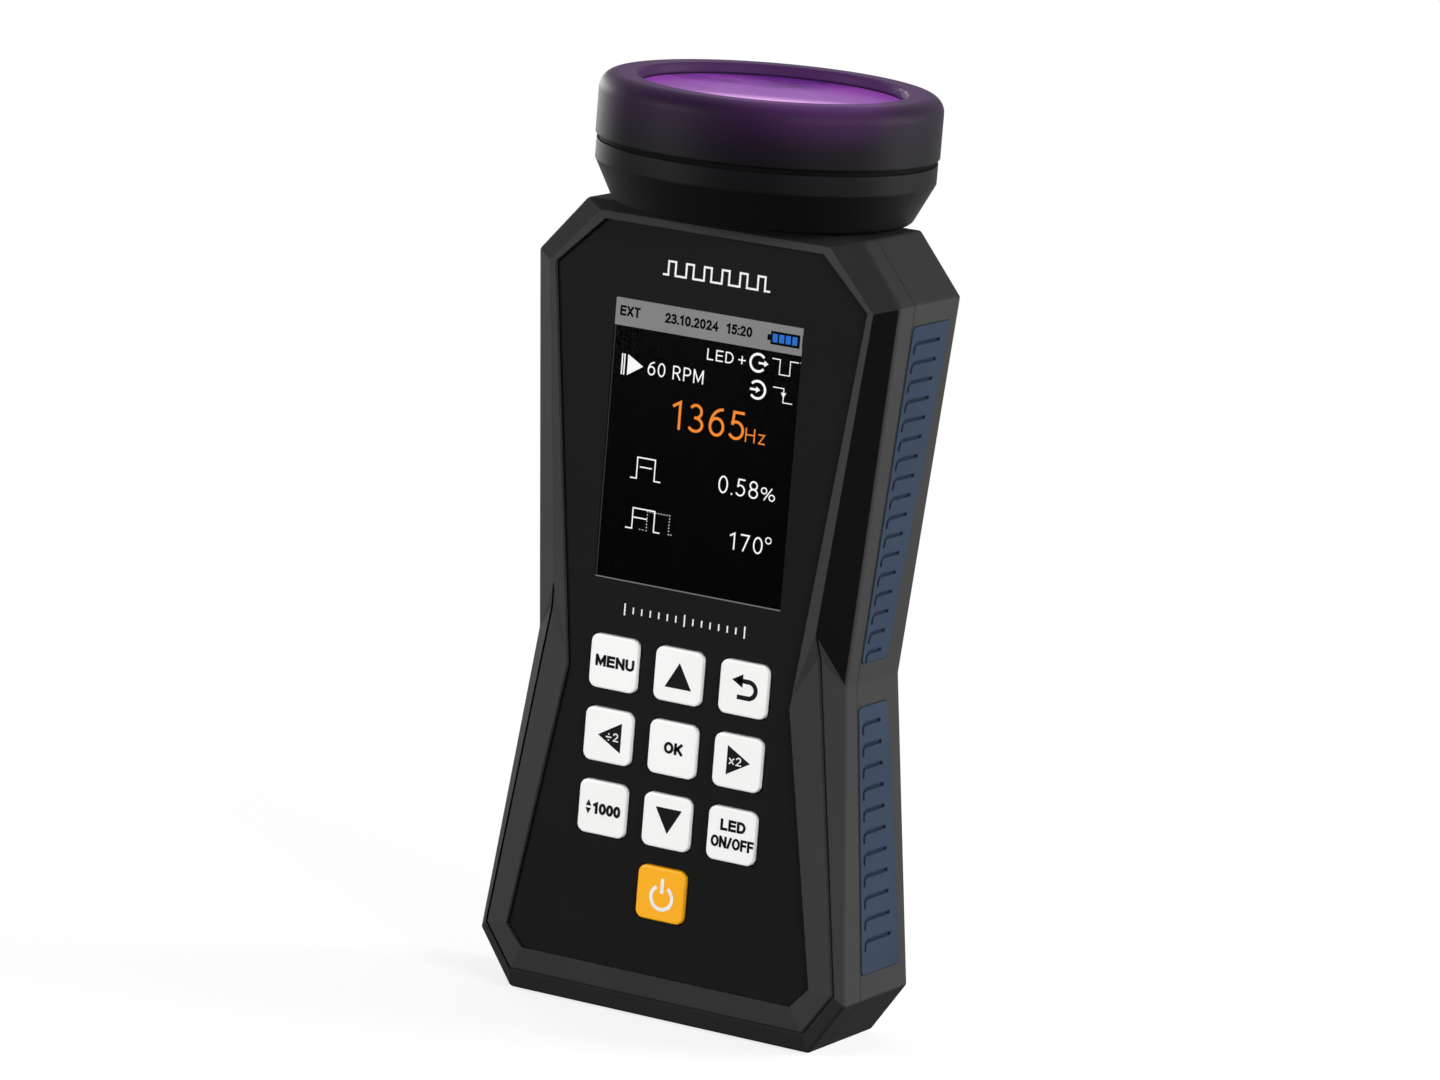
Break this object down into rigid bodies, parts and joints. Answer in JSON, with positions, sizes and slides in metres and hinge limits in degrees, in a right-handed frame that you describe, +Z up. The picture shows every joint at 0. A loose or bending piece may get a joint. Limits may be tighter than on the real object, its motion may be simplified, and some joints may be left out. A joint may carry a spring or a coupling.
{
  "type": "handheld stroboscope",
  "caption": "Handheld stroboscope: waisted two-shell case with display, keypad and soft side grips, and a round ultraviolet lamp head on a neck at the top.",
  "frame": {"origin": "on the plane of the case's bottom end, under the axis of the round lamp head", "axes": "+Z up along the lamp head's axis, -Y out of the face with the display and keys, +X to the right seen from that face"},
  "size_m": [0.0862, 0.0698, 0.1924],
  "materials": {
    "shell": "matte",
    "head": "satin",
    "cover": "matte",
    "plate": "satin",
    "window": "gloss",
    "panel": "gloss",
    "backlight": "matte",
    "inner_frame": "matte",
    "key": "satin",
    "power_key": "satin",
    "grip": "matte",
    "seal": "matte",
    "lens": "gloss",
    "reflector": "polished",
    "light_board": "matte",
    "light_source": "gloss",
    "heat_sink": "satin",
    "screw": "satin",
    "bush": "satin",
    "socket": "gloss",
    "usb": "satin",
    "battery": "satin",
    "contact": "satin",
    "board": "gloss",
    "chip": "matte",
    "coil": "matte"
  },
  "bodies": {
    "case": {"battery_contacts": "contact", "battery_pack": "battery", "bezel_ring": "head", "board_chips": "chip", "board_link": "chip", "board_screws": "screw", "case_screws": "screw", "display_window": "window", "driver_board": "board", "driver_parts": "coil", "face_plate": "plate", "front_shell": "shell", "grip_lower_left": "grip", "grip_lower_right": "grip", "grip_upper_left": "grip", "grip_upper_right": "grip", "heat_sink": "heat_sink", "housing_seal": "seal", "lamp_housing": "head", "lamp_lens": "lens", "lamp_neck": "head", "lamp_pins": "contact", "lcd_backlight": "backlight", "lcd_frame": "inner_frame", "lcd_panel": "panel", "led_board": "light_board", "led_board_screws": "screw", "lens_gasket": "seal", "main_board": "board", "neck_screws": "screw", "neck_seal": "seal", "rear_shell": "shell", "reflector": "reflector", "tact_switches": "socket", "trigger_in_jack": "socket", "trigger_out_jack": "socket", "tripod_bush": "bush", "usb_socket": "usb", "uv_leds": "light_source"},
    "key_mode": {"key_mode": "key"},
    "key_up": {"key_up": "key"},
    "key_back": {"key_back": "key"},
    "key_halve": {"key_halve": "key"},
    "key_set": {"key_set": "key"},
    "key_double": {"key_double": "key"},
    "key_step": {"key_step": "key"},
    "key_down": {"key_down": "key"},
    "key_lamp": {"key_lamp": "key"},
    "key_power": {"key_power": "power_key"},
    "battery_cover": {"battery_cover": "cover", "cover_screws": "screw"}
  },
  "joints": [
    {"name": "key_mode_press", "type": "slide", "parent": "case", "child": "key_mode", "axis": [0, 1, 0], "range_m": [0, 0.0006], "stiffness_N_per_m": 2000},
    {"name": "key_up_press", "type": "slide", "parent": "case", "child": "key_up", "axis": [0, 1, 0], "range_m": [0, 0.0006], "stiffness_N_per_m": 2000},
    {"name": "key_back_press", "type": "slide", "parent": "case", "child": "key_back", "axis": [0, 1, 0], "range_m": [0, 0.0006], "stiffness_N_per_m": 2000},
    {"name": "key_halve_press", "type": "slide", "parent": "case", "child": "key_halve", "axis": [0, 1, 0], "range_m": [0, 0.0006], "stiffness_N_per_m": 2000},
    {"name": "key_set_press", "type": "slide", "parent": "case", "child": "key_set", "axis": [0, 1, 0], "range_m": [0, 0.0006], "stiffness_N_per_m": 2000},
    {"name": "key_double_press", "type": "slide", "parent": "case", "child": "key_double", "axis": [0, 1, 0], "range_m": [0, 0.0006], "stiffness_N_per_m": 2000},
    {"name": "key_step_press", "type": "slide", "parent": "case", "child": "key_step", "axis": [0, 1, 0], "range_m": [0, 0.0006], "stiffness_N_per_m": 2000},
    {"name": "key_down_press", "type": "slide", "parent": "case", "child": "key_down", "axis": [0, 1, 0], "range_m": [0, 0.0006], "stiffness_N_per_m": 2000},
    {"name": "key_lamp_press", "type": "slide", "parent": "case", "child": "key_lamp", "axis": [0, 1, 0], "range_m": [0, 0.0006], "stiffness_N_per_m": 2000},
    {"name": "key_power_press", "type": "slide", "parent": "case", "child": "key_power", "axis": [0, 1, 0], "range_m": [0, 0.0006], "stiffness_N_per_m": 2000},
    {"name": "battery_cover_lift", "type": "slide", "parent": "case", "child": "battery_cover", "axis": [0, 1, 0], "range_m": [0, 0.03]}
  ]
}
